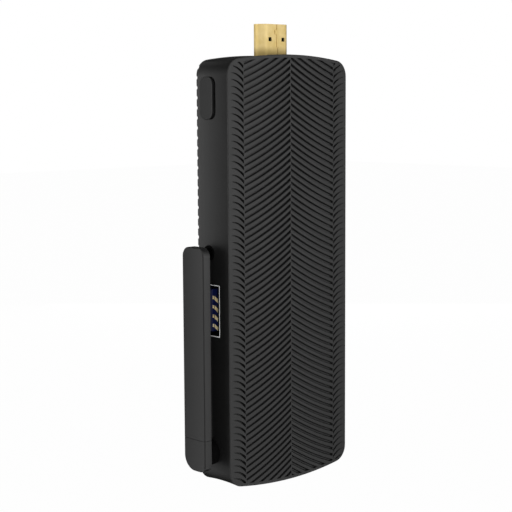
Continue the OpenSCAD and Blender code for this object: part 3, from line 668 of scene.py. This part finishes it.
firstRow = -ceil(fieldDrop(bandX)/ribs["pitch"])
rowCount = floor(-caseFoot/ribs["pitch"]) - firstRow + 1
topRow = -(firstRow + ribs["first"])*ribs["pitch"]
boundaryZ = topRow - fieldDrop(bandX) + ribs["pitch"]/2
fieldPath = alongPath(spineGap, bandX - spineGap, ribs["fieldScale"], lambda u: topRow - fieldDrop(u))
bandPath = alongPath(bandX + spineGap, bandStop, ribs["bandScale"],
                     lambda x: boundaryZ + bandRise(x - bandX))
fieldTool = grooveTool("field_grooves", grooveProfile, fieldPath)
bandTool = grooveTool("band_grooves", bandProfile, bandPath)
for tool in (fieldTool, bandTool):
    repeatDown(tool, rowCount, ribs["pitch"])
rightTool = joinAll([fieldTool, bandTool])
leftTool = copyOf(rightTool, "left_grooves")       # the other half, mirrored and half a step lower
work(leftTool)
pickAll()
bpy.ops.transform.resize(value=(-1, 1, 1), center_override=(0, 0, 0))
bpy.ops.transform.translate(value=(0, 0, -ribs["pitch"]/2*mm))
outward()
ribTool = joinAll([rightTool, leftTool])
rimTool = traceCase("plain_rim", coverLow.y - 2*ribs["lip"], ribs["rim"])
push(0, frontSeam - coverLow.y + 2*ribs["lip"] - near, 0)
outward()
carve(ribTool, rimTool, "INTERSECT")

frontCover = coverBlank("front_cover_ribbed", frontSeam, frontFace, caseForm["crown"])
seatTop = frontSeam + screwForm["seatHigh"]
for place in caseScrews:
    carve(frontCover, screwRod("seat", screwForm["seatR"], place, frontSeam, seatTop), "UNION")
for place in boardScrews:
    carve(frontCover, screwRod("post", screwForm["postR"], place, frontSeam, boardFace), "UNION")
carve(frontCover, ribTool)
settle(frontCover, matteAbs, "case", "case_plastic", "front_cover", sharp=38)


# Rear cover with level ribs that run out through its edges

rearRibs = {"pitch": 3.4, "first": 4.5, "count": 42, "steps": 16,
            "profile": ((1.1, 0.5), (0.86, 0.1), (0.68, -0.16), (0.44, -0.42), (0.16, -0.55))}


def rearAt(x):
    return rearFace + crownAt(x, caseForm["rearCrown"])


rearCover = coverBlank("rear_cover_ribbed", rearSeam, rearFace, caseForm["rearCrown"])
section = bothSides(rearRibs["profile"])
reach = halfWidth + past
rearTool = startAt("rear_grooves", -reach, rearAt(-reach) + section[0][1],
                   section[0][0] - rearRibs["first"])
for (w0, h0), (w1, h1) in zip(section, section[1:]):
    push(0, h1 - h0, w1 - w0)
fill()
for i in range(rearRibs["steps"]):
    x0 = reach*(2*i/rearRibs["steps"] - 1)
    x1 = reach*(2*(i + 1)/rearRibs["steps"] - 1)
    push(x1 - x0, rearAt(x1) - rearAt(x0), 0)
outward()
repeatDown(rearTool, rearRibs["count"], rearRibs["pitch"])
carve(rearCover, rearTool)
headFloor = screwHigh.y - screwForm["headHigh"]
headHole, shankHole = headR + screwForm["play"], screwForm["shankR"] + screwForm["play"]
for place in caseScrews:
    carve(rearCover, screwRod("seat", screwForm["seatR"], place, backLow.y, rearSeam), "UNION")
    carve(rearCover, screwRod("head", headHole, place, headFloor, backHigh.y + past))
    carve(rearCover, screwRod("shank", shankHole, place, 0, rearFace))
settle(rearCover, matteAbs, "case", "case_plastic", "rear_cover", sharp=38)


# Side band with the openings for plug, button, jack, port, swivel and power inlet

openings = {"jackR": 2.72, "jack": (2.05, -67.5), "swivelR": 2.95, "gap": 0.1, "buttonGap": 1.05,
            "runGap": 0.05, "plugCut": (-4, 1)}
gap, buttonGap, runGap = openings["gap"], openings["buttonGap"], openings["runGap"]
buttonLow, buttonHigh = boxOf("power_button")
portLow, portHigh = boxOf("port_shell")
inletLow, inletHigh = boxOf("inlet_shell")
hubLow, hubHigh = boxOf("antenna_hub")
plugLow, plugHigh = boxOf("plug_shell")
swivel = ((hubLow.y + hubHigh.y)/2, (hubLow.z + hubHigh.z)/2)
jack = openings["jack"]
# The photograph's port is longer than a standard one, and is drawn here as it looks there
portForm = {"long": 18, "wide": 7.6, "corner": 0.5, "wall": 0.3, "depth": 3.4, "back": 0.4,
            "chamfer": 0.1, "sunk": 0.2, "lip": 0.45, "shadeWall": 0.1}
portY, portZ = (portLow.y + portHigh.y)/2, (portLow.z + portHigh.z)/2
portMouth = portLow.x + portForm["sunk"]
buttonForm = {"length": 14.3, "corner": 2.7, "shift": 0.7, "tabWidth": 5, "tabThick": 0.7, "round": 0.2,
              "sunk": 0.25}
buttonY = (buttonLow.y + buttonHigh.y)/2 + buttonForm["shift"]
buttonZ = (buttonLow.z + buttonHigh.z)/2
buttonWidth = buttonHigh.y - buttonLow.y
cutOut, cutIn = -halfWidth - past, -halfWidth + caseForm["wall"] + past

sideBand = traceCase("side_band", frontSeam, 0)
bpy.ops.mesh.inset(thickness=caseForm["wall"]*mm, depth=0)
bpy.ops.mesh.delete(type="ONLY_FACE")
pickAll()
push(0, rearSeam - frontSeam, 0)
sliceAlong((0, 1, 0), frontSeam, rearSeam, caseForm["waistSteps"])
hollowWall(sideBand)
outward()
bossTop = rearSeam - screwForm["bossGap"]
for place in caseScrews:
    carve(sideBand, screwRod("boss", screwForm["bossR"], place, seatTop, bossTop), "UNION")
# the button's gap is wide on its front side and narrows to nothing round its ends
buttonHole = oblong("button_hole", cutOut, buttonY - (buttonGap - runGap)/2, buttonZ,
                    buttonForm["length"] + 2*runGap, buttonWidth + buttonGap + runGap,
                    buttonForm["corner"])
push(cutIn - cutOut, 0, 0)
outward()
inletWidth = inletHigh.y - inletLow.y + 2*gap
inletHole = oblong("inlet_hole", -cutIn, (inletLow.y + inletHigh.y)/2, (inletLow.z + inletHigh.z)/2,
                   inletHigh.z - inletLow.z + 2*gap, inletWidth, inletWidth/2)
push(cutIn - cutOut, 0, 0)
outward()
portHalfY, portHalfZ = portForm["wide"]/2 + gap, portForm["long"]/2 + gap
plugFloor, plugTop = openings["plugCut"]
for tool in (buttonHole, inletHole,
             rodTool("jack_hole", openings["jackR"], (cutOut, *jack), (cutIn, *jack)),
             rodTool("swivel_hole", openings["swivelR"], (cutOut, *swivel), (cutIn, *swivel)),
             blockTool("port_hole", (cutOut, portY - portHalfY, portZ - portHalfZ),
                       (cutIn, portY + portHalfY, portZ + portHalfZ)),
             blockTool("plug_hole", (plugLow.x - gap, plugLow.y - gap, plugFloor),
                       (plugHigh.x + gap, plugHigh.y + gap, plugTop))):
    carve(sideBand, tool)
settle(sideBand, matteAbs, "case", "case_plastic", "mid_frame")


# Power button

powerButton = oblong("power_button_cap", buttonHigh.x, buttonY, buttonZ,
                     buttonForm["length"], buttonWidth, buttonForm["corner"])
capX = buttonLow.x + buttonForm["sunk"]          # level with the hollowed wall around it
push(capX - buttonHigh.x, 0, 0)
outward()
pick(powerButton, "EDGE", lambda p: abs(p.x - capX) < near)
roundPicked(buttonForm["round"], steps=4)
tabHalf = buttonForm["tabWidth"]/2
tabs = blockTool("tabs", (buttonHigh.x - buttonForm["tabThick"], buttonY - tabHalf, buttonLow.z),
                 (buttonHigh.x, buttonY + tabHalf, buttonHigh.z))
carve(powerButton, tabs, "UNION")
settle(powerButton, matteAbs, "button", "case_plastic", "power_button")


# Antenna: sleeve above the seam, knuckle with its round foot below

sleeveLow, sleeveHigh = boxOf("antenna_sleeve")
footZ = boxOf("antenna_knuckle")[0].z
paddle = {"tipR": 3.2, "tipDrop": 0.3, "footFrontR": 2.8, "footRearR": 5.2, "edgeCut": 0.28,
          "seamCut": 0.09, "bow": 0.1, "bowSteps": 14, "roundSteps": 12, "footSteps": 20}
paddleY = (sleeveLow.y + sleeveHigh.y)/2
paddleHalf = (sleeveHigh.y - sleeveLow.y)/2
seamZ, tipZ = sleeveLow.z, sleeveHigh.z - paddle["tipDrop"]
innerX, outerX = sleeveHigh.x, sleeveLow.x


def finishPaddle(shape):
    # thicken the traced face, chamfer its edges and the seam, and bow the outer face
    fill()
    push(outerX - innerX, 0, 0)
    outward()
    for faceX in (innerX, outerX):
        pick(shape, "EDGE", lambda p: abs(p.x - faceX) < near)
        mesh = bmesh.from_edit_mesh(shape.data)
        for edge in mesh.edges:
            if all(abs(corner.co.z/mm - seamZ) < near for corner in edge.verts):
                edge.select_set(False)
        bmesh.update_edit_mesh(shape.data)
        roundPicked(paddle["edgeCut"], steps=1)
    pick(shape, "EDGE", lambda p: abs(p.z - seamZ) < near)
    roundPicked(paddle["seamCut"], steps=1)
    sliceAlong((0, 1, 0), sleeveLow.y, sleeveHigh.y, paddle["bowSteps"])
    mesh = bmesh.from_edit_mesh(shape.data)
    for corner in mesh.verts:
        if corner.co.x/mm < (innerX + outerX)/2:
            corner.co.x += paddle["bow"]*((corner.co.y/mm - paddleY)/paddleHalf)**2*mm
    bmesh.update_edit_mesh(shape.data)
    outward()


def paddleCorner(y, z, turn, steps):
    sweep((innerX, y, z), (1, 0, 0), turn, steps)


sleeve = startAt("antenna_sleeve_shell", innerX, sleeveLow.y, seamZ)
tipR, roundSteps = paddle["tipR"], paddle["roundSteps"]
push(0, 0, tipZ - seamZ - tipR)
paddleCorner(sleeveLow.y + tipR, tipZ - tipR, 90, roundSteps)
push(0, 2*(paddleHalf - tipR), 0)
paddleCorner(sleeveHigh.y - tipR, tipZ - tipR, 90, roundSteps)
push(0, 0, seamZ + tipR - tipZ)
finishPaddle(sleeve)
settle(sleeve, antennaAbs, "antenna", "antenna_plastic", "antenna_sleeve")

knuckle = startAt("antenna_knuckle_shell", innerX, sleeveLow.y, seamZ)
frontR, rearR = paddle["footFrontR"], paddle["footRearR"]
push(0, 0, footZ + frontR - seamZ)
paddleCorner(sleeveLow.y + frontR, footZ + frontR, -90, roundSteps)
push(0, 2*paddleHalf - frontR - rearR, 0)
paddleCorner(sleeveHigh.y - rearR, footZ + rearR, -90, paddle["footSteps"])
push(0, 0, seamZ - footZ - rearR)
finishPaddle(knuckle)
settle(knuckle, antennaAbs, "antenna", "antenna_plastic", "antenna_knuckle")


# Display plug: bent sheet with a dovetailed seam and two latch holes

plugForm = {"flat": 10, "straight": 1.87, "wall": 0.35, "frontRound": 0.8, "rearRound": 0.5, "mouth": 8,
            "holeX": 3.1, "holeWide": 1.5, "holeHigh": 1.35, "holeDown": 5.25, "holeDeep": 1, "seam": 0.3,
            "seamDeep": 0.25}
plugSlant = (plugHigh.x - plugLow.x - plugForm["flat"])/2
plugDrop = plugHigh.y - plugLow.y - plugForm["straight"]
plugShell = startAt("plug_shell_folded", plugLow.x, plugHigh.y, plugLow.z)
push(0, -plugForm["straight"], 0)
push(plugSlant, -plugDrop, 0)
push(plugForm["flat"], 0, 0)
push(plugSlant, plugDrop, 0)
push(0, plugForm["straight"], 0)
fill()
for test, size in ((lambda p: p.y < plugHigh.y - near, plugForm["frontRound"]),
                   (lambda p: p.y > plugHigh.y - near, plugForm["rearRound"])):
    pick(plugShell, "VERT", test)
    roundPicked(size, steps=5, kind="VERTICES")
pickAll("FACE")
push(0, 0, plugHigh.z - plugLow.z)
outward()
pick(plugShell, "FACE", lambda p: p.z > plugHigh.z - near)
bpy.ops.mesh.inset(thickness=plugForm["wall"]*mm, depth=0)
push(0, 0, -plugForm["mouth"])
# each cut as (x0, z0, x1, z1) between its ends, its half width, half height and depth
holeZ = plugHigh.z - plugForm["holeDown"]
plugCuts = [(side*plugForm["holeX"], holeZ, side*plugForm["holeX"], holeZ, plugForm["holeWide"]/2,
             plugForm["holeHigh"]/2, plugForm["holeDeep"]) for side in (-1, 1)]
seamPath = ((0, 11, 0, 8.75), (0, 8.75, -0.95, 8.75), (-0.95, 8.75, -0.95, 7.05), (-0.95, 7.05, 0, 7.05),
            (0, 7.05, 0, 2.5), (0, 2.5, 0.7, 2.5), (0.5, 2.5, 0.5, 0.3))
plugCuts += [(*ends, plugForm["seam"]/2, plugForm["seam"]/2, plugForm["seamDeep"]) for ends in seamPath]
for x0, z0, x1, z1, halfX, halfZ, deep in plugCuts:
    carve(plugShell, blockTool("plug_cut", (min(x0, x1) - halfX, plugLow.y - past, min(z0, z1) - halfZ),
                               (max(x0, x1) + halfX, plugLow.y + deep, max(z0, z1) + halfZ)))
settle(plugShell, plugGold, "case", "gold_plating", "plug_shell")


# Data port: nickel box with a black box of painted shade inside it, blue tongue and gold strips on the
# side that faces front

def portBox(name, mouth, depth, inset, wall, back):
    # open box with rounded corners, its mouth towards the side wall
    halfY, halfZ = portForm["wide"]/2 - inset, portForm["long"]/2 - inset
    shape = startAt(name, mouth, portY - halfY, portZ - halfZ)
    push(0, 0, 2*halfZ)
    push(0, 2*halfY, 0)
    push(0, 0, -2*halfZ)
    fill()
    pickAll("VERT")
    roundPicked(portForm["corner"], steps=3, kind="VERTICES")
    pickAll("FACE")
    push(depth, 0, 0)
    outward()
    pick(shape, "FACE", lambda p: abs(p.x - mouth) < near)
    bpy.ops.mesh.inset(thickness=wall*mm, depth=0)
    push(depth - back, 0, 0)
    return shape


portShell = portBox("port_shell_box", portMouth, portForm["depth"], 0, portForm["wall"], portForm["back"])
pick(portShell, "EDGE", lambda p: abs(p.x - portMouth) < near)
roundPicked(portForm["chamfer"], steps=2)
settle(portShell, portNickelHighlight, "case", "port_nickel", "port_shell")
# a near black box inside the nickel shell: painted shade for the dark inside of the port
shadeBoxDepth = portForm["depth"] - portForm["back"] - portForm["lip"]
shadeBox = portBox("port_painted_shade_box", portMouth + portForm["lip"], shadeBoxDepth, portForm["wall"],
                 portForm["shadeWall"], portForm["shadeWall"])
settle(shadeBox, dullBlackAndShade, "case", "connector_plastic", "port_shell")

tongueForm = {"long": 14.6, "thick": 2, "face": 1.15, "sink": 0.5, "round": 0.2,
              "strips": 4, "pitch": 3.25, "thin": 0.12,
              "tipStrip": {"start": 0.1, "end": 0.65, "wide": 1.1, "shift": -0.35, "slant": -0.1},
              "longStrip": {"start": 1.0, "end": 2.4, "wide": 1.3, "shift": -0.65, "slant": -1.3}}
tongueTip = portMouth + tongueForm["sink"]
tongueBack = portMouth + portForm["depth"]
tongue = blockTool("port_tongue_bar", (tongueTip, tongueForm["face"], portZ - tongueForm["long"]/2),
                   (tongueBack, tongueForm["face"] + tongueForm["thick"], portZ + tongueForm["long"]/2))
work(tongue)
pick(tongue, "EDGE", lambda p: abs(p.x - tongueTip) < near)
roundPicked(tongueForm["round"], steps=3)
settle(tongue, blueResin, "case", "tongue_blue", "port_tongue")
strips = []
for i in range(tongueForm["strips"]):
    rowZ = portZ + (i - (tongueForm["strips"] - 1)/2)*tongueForm["pitch"]
    for strip in (tongueForm["tipStrip"], tongueForm["longStrip"]):
        lowZ = rowZ + strip["shift"] - strip["wide"]/2
        strips.append(startAt("port_strip", tongueTip + strip["start"], tongueForm["face"], lowZ))
        push(0, 0, strip["wide"])
        push(0, -tongueForm["thin"], 0)
        push(0, 0, -strip["wide"])
        fill()
        push(strip["end"] - strip["start"], 0, strip["slant"])
        outward()
contacts = joinAll(strips)
contacts.name = contacts.data.name = "port_contact_strips"
settle(contacts, portGold, "case", "gold_plating", "port_contacts")


# Finishes on the nodes whose shape stays

# antenna_hub takes the near black as painted shade, for the shade under the antenna
nodeFinish = {"case_screws": blackSteel, "mainboard": greenLaminate, "board_screws": blackSteel,
              "processor": chipEpoxy, "thermal_pad": greyPad, "heat_spreader": brightAluminium,
              "memory_chips": chipEpoxy, "storage_chip": chipEpoxy, "power_chip": chipEpoxy,
              "power_chokes": ferrite, "radio_module": tinPlate, "radio_lead": leadJacket,
              "clock_cell": nickelPlate, "cell_holder": blackResin, "plug_insulator": dullBlackAndShade,
              "plug_contacts": goldPlate, "audio_jack": dullBlackAndShade, "button_switch": blackResin,
              "switch_plunger": paleNylon, "inlet_shell": nickelPlate, "inlet_tongue": blackResin,
              "inlet_contacts": goldPlate, "antenna_hub": dullBlackAndShade, "antenna_washer": paleNylon,
              "antenna_clip": blackSteel, "antenna_element": copperStrip, "antenna_lead": leadJacket}
for name, finish in nodeFinish.items():
    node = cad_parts[name]
    node.data.materials.clear()
    node.data.materials.append(finish)
print("finishes put on", len(nodeFinish), "nodes")

clearPick()
